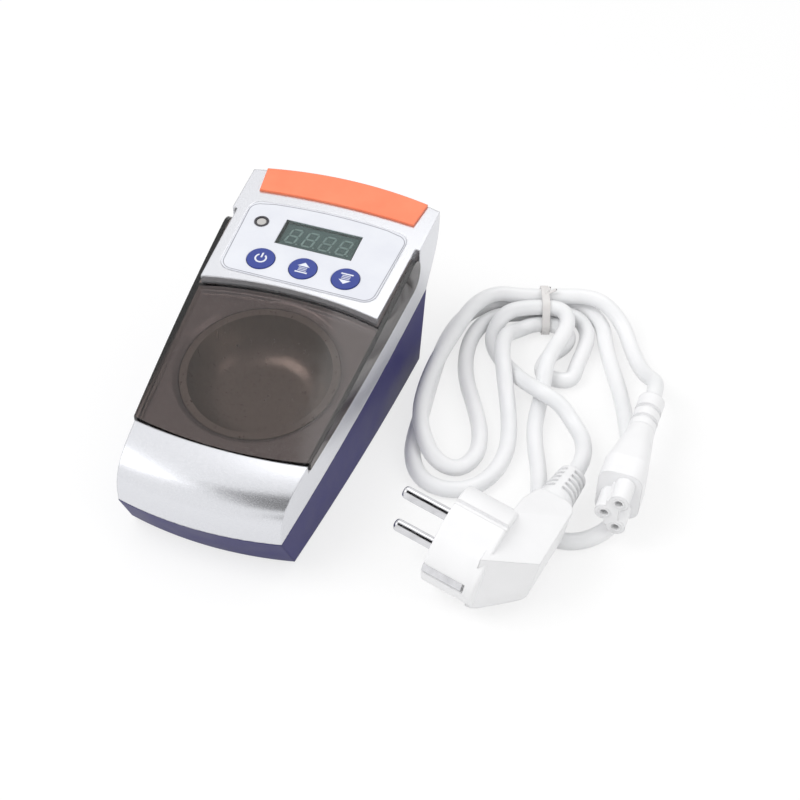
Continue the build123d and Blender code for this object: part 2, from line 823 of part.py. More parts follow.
stem_end = board_depth - switch_height - 0.7 - button_travel - 0.1
for place, name in zip(button_places, ("left", "middle", "right")):
    with BuildPart() as button:
        with BuildSketch(panel.offset(-wall)):
            with Locations(place):
                Circle(button_diameter / 2)
        extrude(amount=wall + button_proud)
        with BuildSketch(panel.offset(-wall)):
            with Locations(place):
                Circle(button_diameter / 2 + button_clearance + button_flange)
        extrude(amount=-1.0)
        with BuildSketch(panel.offset(-wall)):
            with Locations(place):
                Circle(switch_plunger / 2)
        extrude(amount=wall - stem_end)
        fillet(button.faces().sort_by(Axis.Z)[-1].edges(), 0.25)
    finish(button.part, "button_" + name)
    with BuildPart() as tact_switch:
        with BuildSketch(panel.offset(-board_depth)):
            with Locations(place):
                Rectangle(switch_body, switch_body)
        extrude(amount=switch_height)
        with BuildSketch(panel.offset(-board_depth)):
            with Locations(place):
                Circle(switch_plunger / 2)
        extrude(amount=switch_height + 0.7)
    finish(tact_switch.part, "tact_switch_" + name)

with BuildPart() as lamp_bezel:
    with BuildSketch(panel.offset(-wall)):
        with Locations(lamp_place):
            Circle(bezel_diameter / 2)
            Circle(lamp_diameter / 2, mode=Mode.SUBTRACT)
    extrude(amount=wall + 0.35)

finish(lamp_bezel.part, "lamp_bezel")

with BuildPart() as indicator_lamp:
    with BuildSketch(panel.offset(-board_depth)):
        with Locations(lamp_place):
            Circle(lamp_diameter / 2)
    extrude(amount=board_depth + 0.15)
    fillet(indicator_lamp.faces().sort_by(Axis.Z)[-1].edges(), 0.5)

finish(indicator_lamp.part, "indicator_lamp")

# ---------------------------------------------------------------- power section
with BuildPart() as power_board:
    with BuildSketch(Plane.XY.offset(power_board_top)):
        with Locations((0, (power_board_front + power_board_back) / 2)):
            Rectangle(2 * power_board_half_width, power_board_back - power_board_front)
    extrude(amount=-board_thickness)

finish(power_board.part, "power_board")

for place, size, name in (
    (transformer_place, transformer_size, "power_transformer"),
    (relay_place, relay_size, "heater_relay"),
    (fuse_place, fuse_size, "mains_fuse"),
):
    with BuildPart() as block:
        with BuildSketch(Plane.XY.offset(power_board_top)):
            with Locations(place):
                Rectangle(size[0], size[1])
        extrude(amount=size[2])
        chamfer(block.faces().sort_by(Axis.Z)[-1].edges(), 0.6)
    finish(block.part, name)

with BuildPart() as filter_capacitors:
    with BuildSketch(Plane.XY.offset(power_board_top)):
        with Locations(*capacitor_places):
            Circle(capacitor_diameter / 2)
    extrude(amount=capacitor_height)

finish(filter_capacitors.part, "filter_capacitors")

contact_places = [(-contact_spread, contact_row), (contact_spread, contact_row), (0, -earth_rise)]
with BuildPart() as mains_inlet:
    with BuildSketch(inlet_place):
        Rectangle(inlet_width, inlet_tall)
    extrude(amount=-inlet_depth)
    with BuildSketch(inlet_place):
        RectangleRounded(inlet_width + 2 * inlet_rim, inlet_tall + 2 * inlet_rim, 2.0)
    extrude(amount=1.4)
    with BuildSketch(inlet_place.offset(1.4)):
        with Locations(*contact_places):
            Circle(socket_lobe)
        Rectangle(2 * contact_spread, socket_web)
    extrude(amount=-inlet_socket_depth, mode=Mode.SUBTRACT)
    with BuildSketch(inlet_place):
        with Locations(*contact_places):
            Circle(contact_diameter / 2)
    extrude(amount=-inlet_depth, mode=Mode.SUBTRACT)

finish(mains_inlet.part, "mains_inlet")

with BuildPart() as inlet_contacts:
    with BuildSketch(inlet_place.offset(-1.5)):
        with Locations(*contact_places):
            Circle(contact_diameter / 2)
    extrude(amount=-contact_length)

finish(inlet_contacts.part, "inlet_contacts")

rocker_slot = rocker_width + 2 * rocker_clearance
with BuildPart() as switch_frame:
    with BuildSketch(rocker_place):
        Rectangle(frame_width, frame_tall)
    extrude(amount=-frame_depth)
    with BuildSketch(rocker_place):
        RectangleRounded(frame_width + 2 * frame_rim, frame_tall + 2 * frame_rim, 1.0)
    extrude(amount=frame_rim_thickness)
    with BuildSketch(rocker_place.offset(frame_rim_thickness)):
        Rectangle(rocker_slot, frame_tall - 2.2)
    extrude(amount=-frame_rim_thickness - rocker_pivot_depth - 5.0, mode=Mode.SUBTRACT)
    with BuildSketch(Plane.YZ.offset(rocker_side - frame_width / 2 + 0.2)):
        with Locations((bay_back - rocker_pivot_depth, inlet_height)):
            Circle(rocker_axle / 2 + pin_running)
    extrude(amount=frame_width - 0.4, mode=Mode.SUBTRACT)

finish(switch_frame.part, "switch_frame")

with BuildPart() as switch_rocker:
    with BuildSketch(Plane.YZ.offset(rocker_side - rocker_width / 2)):
        with BuildLine():
            Polyline(
                (4.7, -rocker_half_tall),
                (3.4, 0),
                (4.7, rocker_half_tall),
                (1.6, rocker_half_tall),
                (-2.8, 2.8),
                (-2.8, -2.8),
                (1.6, -rocker_half_tall),
                close=True,
            )
        make_face()
    extrude(amount=rocker_width)
    fillet(switch_rocker.edges().filter_by(Axis.X).group_by(Axis.Y)[-1], 0.5)
    with BuildSketch(Plane.YZ.offset(rocker_side - frame_width / 2 + 0.3)):
        Circle(rocker_axle / 2)
    extrude(amount=frame_width - 0.6)

rocker_rest = Location((0, bay_back - rocker_pivot_depth, inlet_height)) * Rotation(-rocker_swing, 0, 0)
finish(rocker_rest * switch_rocker.part, "switch_rocker")

# ---------------------------------------------------------------- screws and feet
with BuildPart() as case_screws:
    with BuildSketch(Plane.XY.offset(foot_height + 3.0)):
        with Locations(*boss_places):
            Circle(case_head / 2)
    extrude(amount=-2.2)
    with BuildSketch(Plane.XY.offset(foot_height + 3.0)):
        with Locations(*boss_places[:2]):
            Circle(case_screw / 2)
    extrude(amount=height(parting, front_boss[1]) + case_screw_grip - foot_height - 4.0)
    with BuildSketch(Plane.XY.offset(foot_height + 3.0)):
        with Locations(*boss_places[2:]):
            Circle(case_screw / 2)
    extrude(amount=height(parting, rear_boss[1]) + case_screw_grip - foot_height - 4.0)

finish(case_screws.part, "case_screws")

for place, name in zip(foot_places, ("front_left", "front_right", "rear_left", "rear_right")):
    with BuildPart() as rubber_foot:
        with BuildSketch():
            with Locations(place):
                Circle(foot_diameter / 2)
        extrude(amount=foot_height + foot_sink)
        fillet(rubber_foot.faces().sort_by(Axis.Z)[0].edges(), edge_round)
    finish(rubber_foot.part, "rubber_foot_" + name)

# ---------------------------------------------------------------- mains lead
# The lead lies on the bench as a loose hank of two ends and five strands, drawn together by a twist tie.
# Its route runs from the appliance connector through the tie five times to the plug.
lead_route = [
    (137, 45, 18.2), (137, 54, 18.2), (134.5, 63, 13.0), (128, 74.5, 5.0), (120.5, 87.5, 3.4),
    (114, 98.5, 6.4), (104, 104.5, 11.3), (95, 105.5, 11.3), (87, 103.2, 10.7), (70.2, 96.8, 10.7),
    (59.2, 95.2, 10.9), (52.5, 85, 10.6), (50.5, 69, 10.6), (49, 50, 10.6), (49.5, 32, 10.6),
    (52, 17, 10.6), (57, 5, 10.5), (65, -3, 6.0), (74.5, -2.5, 3.4), (79, 8, 3.4), (76, 21, 3.4),
    (69.5, 33.5, 3.4), (62, 46, 3.4), (57, 60, 3.4), (55.5, 75, 3.4), (59.5, 88, 3.4),
    (71.5, 93.5, 4.5), (88.3, 99.9, 4.5), (96, 98.7, 3.4), (101, 91, 3.4), (101.8, 80, 3.4),
    (101.5, 71, 3.4), (102, 60, 3.4), (88.5, 60, 3.4), (88.5, 71.5, 3.4), (94.2, 81, 3.4),
    (93.3, 88.8, 3.4), (86, 91.4, 4.5), (77.8, 88.3, 4.5), (72.3, 81, 4.8), (70.3, 71, 10.7),
    (72, 61, 10.9), (76, 50.5, 10.8), (81.5, 39, 4.8), (86, 27, 3.4), (89, 14, 3.4), (88, 1, 3.4),
    (82.5, -9.5, 3.4), (73, -14, 3.4), (62.5, -12, 3.4), (55.5, -2.5, 3.4), (52.5, 10, 3.4),
    (51, 24, 3.4), (49, 38, 3.4), (47, 54, 3.4), (46.5, 70, 3.4), (48.5, 84.5, 3.4), (56, 95.3, 3.4),
    (69, 100.2, 4.5), (85.8, 106.7, 4.5), (96.5, 106.8, 3.4), (105, 99.5, 3.4), (109.6, 86.5, 3.4),
    (116, 73, 3.4), (123, 59.5, 3.4), (128.5, 45.5, 3.4), (133.5, 31, 3.4), (137, 16, 3.4),
    (138.5, 1, 3.4), (136, -12, 3.4), (128, -21.5, 3.4), (117.5, -24, 3.4), (109.5, -16.5, 3.4),
    (107, -4, 3.4), (103.5, 8, 3.4), (98.5, 20, 3.4), (95, 31, 3.4), (93.5, 41.5, 3.4), (93, 49.6, 4.2),
    (91, 58.6, 11.3), (91.5, 70, 10.8), (93, 80, 11.0), (92.5, 89, 11.2), (87, 95.5, 10.7),
    (72.7, 90.2, 10.7), (65.3, 85.2, 9.2), (63.2, 76, 3.4), (68, 66.8, 3.4), (76, 59.3, 3.4),
    (84.5, 50.6, 7.2), (93, 42, 12.4), (102.5, 40, 10.5), (110, 34.5, 6.5), (116, 26.5, 7.0),
    (119.3, 12.6, 9.9), (117.6, 0.8, 11.9),
]


def bend_radii(points):
    """Radius of each bend, so that its arc takes bend_share of the shorter run beside it."""
    corners = [Vector(*point) for point in points]
    radii = []
    for before, here, after in zip(corners, corners[1:], corners[2:]):
        turn = (here - before).get_angle(after - here)
        shorter = min((here - before).length, (after - here).length)
        radii.append(bend_share * shorter / tan(radians(turn) / 2))
    return radii


def least_gap(path, step, skip):
    """Least gap between turns of a tube on this path, on points step apart, further than skip along."""
    count = int(path.length / step)
    points = [path.position_at(i / count) for i in range(count + 1)]
    apart = int(skip / step)
    nearest = min((points[i] - points[j]).length for i in range(count) for j in range(i + apart, count + 1))
    return nearest - cable_diameter


lead_radii = bend_radii(lead_route)
with BuildPart() as lead_cable:
    with BuildLine() as lead_line:
        FilletPolyline(*lead_route, radius=lead_radii)
    lead_path = lead_line.wire()
    with BuildSketch(Plane(origin=lead_path @ 0, z_dir=lead_path % 0)):
        Circle(cable_diameter / 2)
    sweep(path=lead_path)

finish(lead_cable.part, "lead_cable")
print("lead radii", [round(radius, 1) for radius in lead_radii])
print("lead length", lead_path.length, "volume", lead_cable.part.volume)
print("section x length", pi * cable_diameter**2 / 4 * lead_path.length)
print("least gap", least_gap(lead_path, gap_step, gap_skip))

connector_place = Plane(
    origin=(connector_side, connector_face, connector_height), x_dir=(1, 0, 0), z_dir=(0, -1, 0)
)
socket_places = [(contact_row, -contact_spread), (contact_row, contact_spread), (-earth_rise, 0)]
grip_start = connector_nose
grip_end = grip_start + connector_grip
taper_end = grip_end + connector_taper
with BuildPart() as lead_connector:
    with BuildSketch(connector_place):
        with Locations(*socket_places):
            Circle(socket_lobe - lobe_clearance)
        Rectangle(socket_web - 2 * lobe_clearance, 2 * contact_spread)
    extrude(amount=-grip_start)
    with BuildSketch(connector_place.offset(-grip_start)):
        RectangleRounded(connector_wide, connector_tall, connector_corner)
    extrude(amount=-connector_grip)
    with BuildSketch(connector_place.offset(-grip_end)):
        RectangleRounded(connector_wide, connector_tall, connector_corner)
    with BuildSketch(connector_place.offset(-taper_end)):
        Circle(connector_neck / 2)
    loft()
    with BuildSketch(connector_place):
        with Locations(*socket_places):
            Circle(hole_rim)
    extrude(amount=hole_rim_proud)
    with BuildSketch(connector_place.offset(hole_rim_proud)):
        with Locations(*socket_places):
            Circle(contact_diameter / 2 + hole_clearance)
    extrude(amount=-connector_hole_depth, mode=Mode.SUBTRACT)

finish(lead_connector.part, "lead_connector")

with BuildPart() as connector_relief:
    with BuildSketch(connector_place.offset(-taper_end)):
        Circle(connector_neck / 2)
    extrude(amount=-connector_relief_length)
    for groove in connector_grooves:
        with BuildSketch(connector_place.offset(-taper_end - groove)):
            Circle(connector_neck)
            Circle(connector_neck / 2 - groove_depth, mode=Mode.SUBTRACT)
        extrude(amount=-groove_width, mode=Mode.SUBTRACT)

finish(connector_relief.part, "connector_relief")

plug_across = (sin(radians(plug_turn)), cos(radians(plug_turn)), 0)
pins_way = (
    -cos(radians(plug_tilt)) * plug_across[1],
    cos(radians(plug_tilt)) * plug_across[0],
    sin(radians(plug_tilt)),
)
plug_face = Plane(origin=plug_place, x_dir=plug_across, z_dir=pins_way)
plug_side = Plane(origin=plug_place, x_dir=plug_face.x_dir, z_dir=plug_face.y_dir)
plug_profile = Plane(origin=plug_place, x_dir=plug_face.y_dir, z_dir=plug_face.x_dir)
plug_pin_places = [(0, -plug_pin_pitch / 2), (0, plug_pin_pitch / 2)]
relief_end = Vector(*lead_route[-1])
relief_way = (Vector(*lead_route[-2]) - relief_end).normalized()
relief_plane = Plane(origin=relief_end, z_dir=relief_way, x_dir=relief_way.cross(Vector(0, 0, 1)))
with BuildPart() as plug_strain_relief:
    with BuildSketch(relief_plane):
        Circle(relief_tip / 2)
    with BuildSketch(relief_plane.offset(-relief_length)):
        Circle(relief_base / 2)
    loft()
    for groove in range(5):
        with BuildSketch(relief_plane.offset(-relief_start - relief_pitch * groove)):
            Rectangle(2 * relief_base, 2 * relief_base)
            Rectangle(relief_web, 2 * relief_base, mode=Mode.SUBTRACT)
            Circle(relief_core / 2, mode=Mode.SUBTRACT)
        extrude(amount=-relief_slot, mode=Mode.SUBTRACT)

finish(plug_strain_relief.part, "plug_strain_relief")

with BuildPart() as plug_body:
    with BuildSketch(plug_side) as plug_outline:
        Polygon(*plug_plan, align=None)
        fillet(plug_outline.vertices().sort_by(Axis(plug_place, pins_way))[:3], plug_corner)
    extrude(amount=plug_radius, both=True)
    with BuildSketch(plug_profile) as plug_sides:
        Polygon(*plug_flanks, align=None)
        fillet(plug_sides.vertices().sort_by(Axis(plug_place, pins_way))[:2], plug_corner)
    extrude(amount=2 * plug_radius, both=True, mode=Mode.INTERSECT)
    with BuildSketch(plug_face):
        Polygon(*plug_front, align=None)
    extrude(amount=-2 * plug_disc_depth, mode=Mode.INTERSECT)

with BuildPart() as mains_plug:
    with BuildSketch(plug_face):
        Circle(plug_radius)
    extrude(amount=-plug_disc_depth)
    fillet(mains_plug.edges().filter_by(GeomType.CIRCLE), 1.0)
    add(plug_body.part)
    with BuildSketch(plug_face):
        with Locations((0, -plug_radius), (0, plug_radius)):
            Rectangle(guide_width, 2 * guide_depth)
    extrude(amount=-plug_disc_depth, mode=Mode.SUBTRACT)
    with BuildSketch(plug_face):
        with Locations((-plug_radius, 0), (plug_radius, 0)):
            Rectangle(2 * clip_slot[0], clip_slot[1])
    extrude(amount=-clip_depth - 1.0, mode=Mode.SUBTRACT)
    with BuildSketch(plug_face):
        with Locations(*plug_pin_places):
            Circle(plug_pin_shank / 2)
    extrude(amount=-plug_pin_root, mode=Mode.SUBTRACT)
    add(plug_strain_relief.part, mode=Mode.SUBTRACT)

finish(mains_plug.part, "mains_plug")
print("plug", mains_plug.part.volume, mains_plug.part.is_valid, len(mains_plug.part.solids()))

with BuildPart() as plug_pins:
    with BuildSketch(plug_face):
        with Locations(*plug_pin_places):
            Circle(plug_pin_diameter / 2)
    extrude(amount=plug_pin_length)
    fillet(plug_pins.faces().group_by(Axis(plug_place, pins_way))[-1].edges(), plug_pin_round)
    with BuildSketch(plug_face):
        with Locations(*plug_pin_places):
            Circle(plug_pin_shank / 2)
    extrude(amount=-plug_pin_root)

finish(plug_pins.part, "plug_pins")

with BuildPart() as plug_earth_clips:
    with BuildSketch(plug_face):
        with Locations((clip_sink - plug_radius, 0), (plug_radius - clip_sink, 0)):
            Rectangle(clip_thickness, clip_width)
    extrude(amount=-clip_depth)

finish(plug_earth_clips.part, "plug_earth_clips")

strands_way = (cos(radians(tie_turn)), sin(radians(tie_turn)), 0)
tie_plane = Plane(
    origin=(tie_place[0], tie_place[1], 0), x_dir=(-strands_way[1], strands_way[0], 0), z_dir=strands_way
)
bundle = [
    (-strand_pitch, low_row),
    (strand_pitch, low_row),
    (-strand_pitch / 2, high_row),
    (strand_pitch / 2, high_row),
]
tie_inside = cable_diameter / 2 + tie_clearance
with BuildSketch(Plane.XY) as tie_outline:
    with Locations(*bundle):
        Circle(tie_inside + tie_thickness)
    make_hull()
with BuildSketch(Plane.XY) as tie_hole:
    with Locations(*bundle):
        Circle(tie_inside)
    make_hull()
with BuildPart() as cable_tie:
    with BuildSketch(tie_plane.offset(-tie_width / 2)):
        add(tie_outline.sketch)
        add(tie_hole.sketch, mode=Mode.SUBTRACT)
    extrude(amount=tie_width)

finish(cable_tie.part, "cable_tie")
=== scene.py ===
"""Looks of the dental wax heater: finishes, printed symbols, display digits and the mains lead."""

import json
from math import cos, radians, sin, tan

import bmesh
import bpy
from mathutils import Matrix, Quaternion, Vector


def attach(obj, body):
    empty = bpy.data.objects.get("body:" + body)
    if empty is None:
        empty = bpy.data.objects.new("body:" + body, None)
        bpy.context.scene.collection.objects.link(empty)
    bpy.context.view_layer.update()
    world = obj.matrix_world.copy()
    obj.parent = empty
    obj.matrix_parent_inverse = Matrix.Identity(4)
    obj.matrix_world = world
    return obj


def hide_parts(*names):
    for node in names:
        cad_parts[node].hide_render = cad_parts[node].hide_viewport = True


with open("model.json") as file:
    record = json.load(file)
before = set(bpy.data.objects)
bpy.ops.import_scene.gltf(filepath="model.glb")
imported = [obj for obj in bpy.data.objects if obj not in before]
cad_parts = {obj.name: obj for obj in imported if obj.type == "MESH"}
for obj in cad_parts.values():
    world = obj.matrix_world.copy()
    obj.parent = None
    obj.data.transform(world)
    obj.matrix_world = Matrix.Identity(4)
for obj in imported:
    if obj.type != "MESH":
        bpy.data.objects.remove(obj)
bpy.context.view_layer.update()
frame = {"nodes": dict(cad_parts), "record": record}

scene = bpy.context.scene
nodes = frame["nodes"]
mm = 0.001
white = (1, 1, 1, 1)

# ---------------------------------------------------------------- camera
camera_place = Vector((0.1946, -0.4324, 0.4679))
camera_aim = Vector((0.0394, 0.0299, 0.0))
camera_roll = radians(1.39)
camera_lens = 75.7
camera_sensor = 36.0


def add_camera():
    """The photograph's view of the heater and its lead."""
    data = bpy.data.cameras.new("camera")
    data.lens = camera_lens
    data.sensor_width = camera_sensor
    camera = bpy.data.objects.new("camera", data)
    camera.location = camera_place
    look = (camera_aim - camera_place).to_track_quat("-Z", "Y")
    camera.rotation_mode = "QUATERNION"
    camera.rotation_quaternion = look @ Quaternion((0, 0, 1), camera_roll)
    scene.collection.objects.link(camera)
    scene.camera = camera


# ---------------------------------------------------------------- colours and node helpers
def srgb(red, green, blue):
    """Linear colour of an sRGB one whose levels run to 255."""

    def linear(level):
        share = level / 255
        return share / 12.92 if share <= 0.04045 else ((share + 0.055) / 1.055) ** 2.4

    return (linear(red), linear(green), linear(blue), 1.0)


noise_low = 0.3            # a noise's factor lies mostly between these two
noise_high = 0.7


class Finish:
    """A node material in the making: its tree, its Principled shader and the row frame's coordinates."""

    def __init__(self, name):
        self.material = bpy.data.materials.new(name)
        self.material.use_nodes = True
        self.tree = self.material.node_tree
        self.shader = self.tree.nodes["Principled BSDF"]
        self.output = self.tree.nodes["Material Output"]
        self.place = self.node("ShaderNodeTexCoord").outputs["Object"]

    def node(self, kind, **settings):
        made = self.tree.nodes.new(kind)
        for name, value in settings.items():
            setattr(made, name, value)
        return made

    def link(self, source, target):
        self.tree.links.new(source, target)

    def set(self, **values):
        """Sets the shader's own sockets: spaces in their names are written as underscores."""
        for name, value in values.items():
            self.shader.inputs[name.replace("_", " ")].default_value = value

    def noise(self, scale, detail=2.0, stretch=(1, 1, 1)):
        """Factor of a noise with this many waves to the metre."""
        spread = self.node("ShaderNodeMapping")
        spread.inputs["Scale"].default_value = stretch
        self.link(self.place, spread.inputs["Vector"])
        noise = self.node("ShaderNodeTexNoise")
        noise.inputs["Scale"].default_value = scale
        noise.inputs["Detail"].default_value = detail
        self.link(spread.outputs["Vector"], noise.inputs["Vector"])
        return noise.outputs["Fac"]

    def range(self, factor, low, high):
        """A noise's factor, spread over low to high."""
        spread = self.node("ShaderNodeMapRange")
        ends = {"From Min": noise_low, "From Max": noise_high, "To Min": low, "To Max": high}
        for name, value in ends.items():
            spread.inputs[name].default_value = value
        self.link(factor, spread.inputs["Value"])
        return spread.outputs["Result"]

    def blend(self, factor, first, second):
        """A colour between two colours, in the mix node's colour sockets: 6 and 7 in, 2 out."""
        mix = self.node("ShaderNodeMix", data_type="RGBA")
        self.link(factor, mix.inputs["Factor"])
        mix.inputs[6].default_value = first
        mix.inputs[7].default_value = second
        return mix.outputs[2]

    def soft_edge(self, radius):
        """Normal that rounds the moulding's sharp edges by this radius."""
        edge = self.node("ShaderNodeBevel", samples=6)
        edge.inputs["Radius"].default_value = radius
        return edge.outputs["Normal"]

    def bump(self, factor, depth, below=None):
        """Normal of a surface whose height is factor times depth, in metres, on top of the normal below."""
        bump = self.node("ShaderNodeBump")
        bump.inputs["Strength"].default_value = 1.0
        bump.inputs["Distance"].default_value = depth
        self.link(factor, bump.inputs["Height"])
        if below is not None:
            self.link(below, bump.inputs["Normal"])
        return bump.outputs["Normal"]


# ---------------------------------------------------------------- finishes
patch_waves = 70.0         # to the metre, of a moulding's uneven colour and gloss
gloss_spread = 0.04        # how far a moulding's roughness strays
brush_spread = 0.05        # and that of brushed metal


def moulded(name, colour, tone, rough, grain=1800.0, depth=0.00002, edge=0.0004, **sockets):
    """Moulded plastic or rubber: patches from colour to tone, a fine grain, uneven gloss and soft edges."""
    finish = Finish(name)
    inputs = finish.shader.inputs
    patches = finish.noise(patch_waves, 3.0)
    finish.link(finish.blend(finish.range(patches, 0, 1), colour, tone), inputs["Base Color"])
    finish.link(finish.range(patches, rough - gloss_spread, rough + gloss_spread), inputs["Roughness"])
    grained = finish.bump(finish.noise(grain), depth, below=finish.soft_edge(edge))
    finish.link(grained, inputs["Normal"])
    finish.set(**sockets)
    return finish.material


flake_waves = 5200.0
flake_depth = 0.0000012
peel_waves = 420.0
peel_depth = 0.000004
silver_edge = 0.0009       # rounding of the silver shell's edges


def silver_paint():
    """Silver paint on plastic: fine flakes in it, a faint orange peel on it."""
    finish = Finish("silver_paint")
    flakes = finish.noise(flake_waves, 1.0)
    peel = finish.noise(peel_waves, 2.0)
    tone = finish.blend(finish.range(flakes, 0, 1), srgb(218, 219, 224), srgb(226, 227, 231))
    finish.link(tone, finish.shader.inputs["Base Color"])
    finish.link(finish.range(flakes, 0.24, 0.28), finish.shader.inputs["Roughness"])
    fine = finish.bump(flakes, flake_depth, below=finish.soft_edge(silver_edge))
    finish.link(finish.bump(peel, peel_depth, below=fine), finish.shader.inputs["Normal"])
    finish.set(Metallic=0.82)
    return finish.material


def lamp_clear(finish, tint):
    """Lets the lamps' light through a glass finish with this tint."""
    paths = finish.node("ShaderNodeLightPath")
    through = finish.node("ShaderNodeBsdfTransparent")
    through.inputs["Color"].default_value = tint
    mix = finish.node("ShaderNodeMixShader")
    finish.link(paths.outputs["Is Shadow Ray"], mix.inputs["Fac"])
    finish.link(finish.shader.outputs["BSDF"], mix.inputs[1])
    finish.link(through.outputs["BSDF"], mix.inputs[2])
    finish.link(mix.outputs["Shader"], finish.output.inputs["Surface"])


smoke_colour = (0.19, 0.085, 0.05, 1.0)
smoke_density = 650.0      # to the metre
lid_edge = 0.0003
window_tint = (0.62, 0.72, 0.70, 1.0)


def smoked_plastic():
    """Smoked clear plastic that darkens with its depth."""
    finish = Finish("smoked_plastic")
    haze = finish.noise(160.0, 3.0)
    finish.link(finish.range(haze, 0.04, 0.09), finish.shader.inputs["Roughness"])
    finish.link(finish.bump(haze, 0.00001, below=finish.soft_edge(lid_edge)), finish.shader.inputs["Normal"])
    finish.set(Base_Color=white, Transmission_Weight=1.0, IOR=1.49)
    depth = finish.node("ShaderNodeVolumeAbsorption")
    depth.inputs["Color"].default_value = smoke_colour
    depth.inputs["Density"].default_value = smoke_density
    finish.link(depth.outputs["Volume"], finish.output.inputs["Volume"])
    lamp_clear(finish, white)
    return finish.material


def window_plastic():
    """Grey-green filter in front of the digits."""
    finish = Finish("window_plastic")
    haze = finish.noise(300.0, 2.0)
    finish.link(finish.range(haze, 0.10, 0.16), finish.shader.inputs["Roughness"])
    finish.link(finish.bump(haze, 0.000006), finish.shader.inputs["Normal"])
    finish.set(Base_Color=window_tint, Transmission_Weight=1.0, IOR=1.46)
    lamp_clear(finish, window_tint)
    return finish.material


# How brushed lines are drawn out: a tenth of the waves along each axis that they follow.
along_x = (0.1, 1, 1)
along_y = (1, 0.1, 1)
along_z = (1, 1, 0.1)
across_y = (0.1, 1, 0.1)


def brushed(name, colour, tone, rough, waves, stretch, depth=0.000008):
    """Metal with fine drawn-out lines."""
    finish = Finish(name)
    inputs = finish.shader.inputs
    lines = finish.noise(waves, 2.0, stretch)
    finish.link(finish.blend(finish.range(lines, 0, 1), colour, tone), inputs["Base Color"])
    finish.link(finish.range(lines, rough - brush_spread, rough + brush_spread), inputs["Roughness"])
    finish.link(finish.bump(lines, depth), inputs["Normal"])
    finish.set(Metallic=1.0)
    return finish.material


def board_green():
    """Circuit board with faint tracks under its green lacquer."""
    finish = Finish("board_green")
    tracks = finish.node("ShaderNodeTexBrick")
    tracks.inputs["Scale"].default_value = 160.0
    tracks.inputs["Color1"].default_value = srgb(24, 92, 58)
    tracks.inputs["Color2"].default_value = srgb(28, 104, 64)
    tracks.inputs["Mortar"].default_value = srgb(18, 72, 46)
    finish.link(finish.place, tracks.inputs["Vector"])
    finish.link(tracks.outputs["Color"], finish.shader.inputs["Base Color"])
    finish.link(finish.bump(tracks.outputs["Fac"], 0.00002), finish.shader.inputs["Normal"])
    finish.set(Roughness=0.35)
    return finish.material


finishes = {
    "silver_housing": silver_paint(),
    "blue_base": moulded(
        "blue_plastic", srgb(40, 37, 96), srgb(46, 43, 104), 0.45, edge=0.0012, Specular_IOR_Level=0.2
    ),
    "accent_orange": moulded("orange_plastic", srgb(255, 128, 88), srgb(255, 138, 98), 0.38, edge=0.0007),
    "panel_film": moulded("panel_film", srgb(220, 222, 230), srgb(228, 230, 236), 0.45, grain=2600.0),
    "smoked_lid": smoked_plastic(),
    "steel_pin": brushed("steel", srgb(190, 190, 192), srgb(215, 215, 218), 0.25, 900.0, along_x),
    "coated_aluminium": brushed(
        "pot_metal", srgb(206, 203, 198), srgb(214, 211, 206), 0.32, 900.0, along_z, depth=0.000001
    ),
    "silicone_seal": moulded("silicone", srgb(190, 60, 50), srgb(200, 72, 60), 0.55),
    "aluminium_plate": brushed("plate_metal", srgb(190, 192, 195), srgb(210, 212, 214), 0.35, 800.0, along_y),
    "insulation": moulded(
        "insulation", srgb(226, 220, 205), srgb(206, 198, 180), 0.9, grain=900.0, depth=0.0002
    ),
    "black_plastic": moulded("black_plastic", srgb(26, 26, 28), srgb(34, 34, 36), 0.45),
    "display_window": window_plastic(),
    "display_body": moulded("display_body", srgb(86, 99, 99), srgb(93, 106, 105), 0.6, grain=3000.0),
    "circuit_board": board_green(),
    "zinc_screw": brushed("zinc", srgb(186, 190, 196), srgb(206, 210, 214), 0.3, 1500.0, along_z),
    "button_blue": moulded("button_blue", srgb(38, 56, 136), srgb(44, 63, 146), 0.36, grain=2600.0),
    "dark_bezel": moulded("dark_bezel", srgb(52, 50, 56), srgb(62, 60, 66), 0.4),
    "lamp_lens": moulded("lamp_lens", srgb(186, 184, 182), srgb(200, 198, 196), 0.25),
    "relay_case": moulded("relay_case", srgb(40, 82, 170), srgb(48, 92, 184), 0.4),
    "fuse_case": moulded("fuse_case", srgb(214, 214, 208), srgb(226, 226, 220), 0.3),
    "capacitor_can": moulded("capacitor_can", srgb(30, 30, 52), srgb(38, 38, 62), 0.4),
    "plated_contact": brushed(
        "contact_plate", srgb(206, 190, 140), srgb(224, 210, 164), 0.25, 900.0, along_y
    ),
    "rocker_black": moulded("rocker_black", srgb(22, 22, 24), srgb(30, 30, 32), 0.35),
    "foot_rubber": moulded(
        "foot_rubber", srgb(44, 44, 46), srgb(54, 54, 56), 0.8, grain=1200.0, depth=0.00006
    ),
    "white_cable": moulded("white_cable", srgb(246, 246, 247), srgb(241, 242, 243), 0.36, grain=1400.0),
    "white_moulding": moulded("white_moulding", srgb(247, 247, 248), srgb(243, 243, 244), 0.4, edge=0.0008),
    "nickel_pin": brushed("nickel", srgb(205, 205, 208), srgb(225, 225, 228), 0.16, 1200.0, across_y),
    "tie_grey": moulded("tie_grey", srgb(238, 236, 235), srgb(228, 225, 223), 0.4),
}
print_white = moulded("print_white", srgb(240, 242, 248), srgb(228, 232, 244), 0.5, grain=3000.0)
outline_grey = moulded("outline_grey", srgb(140, 140, 150), srgb(156, 156, 166), 0.5)
segment_grey = moulded("segment_grey", srgb(146, 158, 156), srgb(138, 150, 148), 0.5, grain=3000.0)


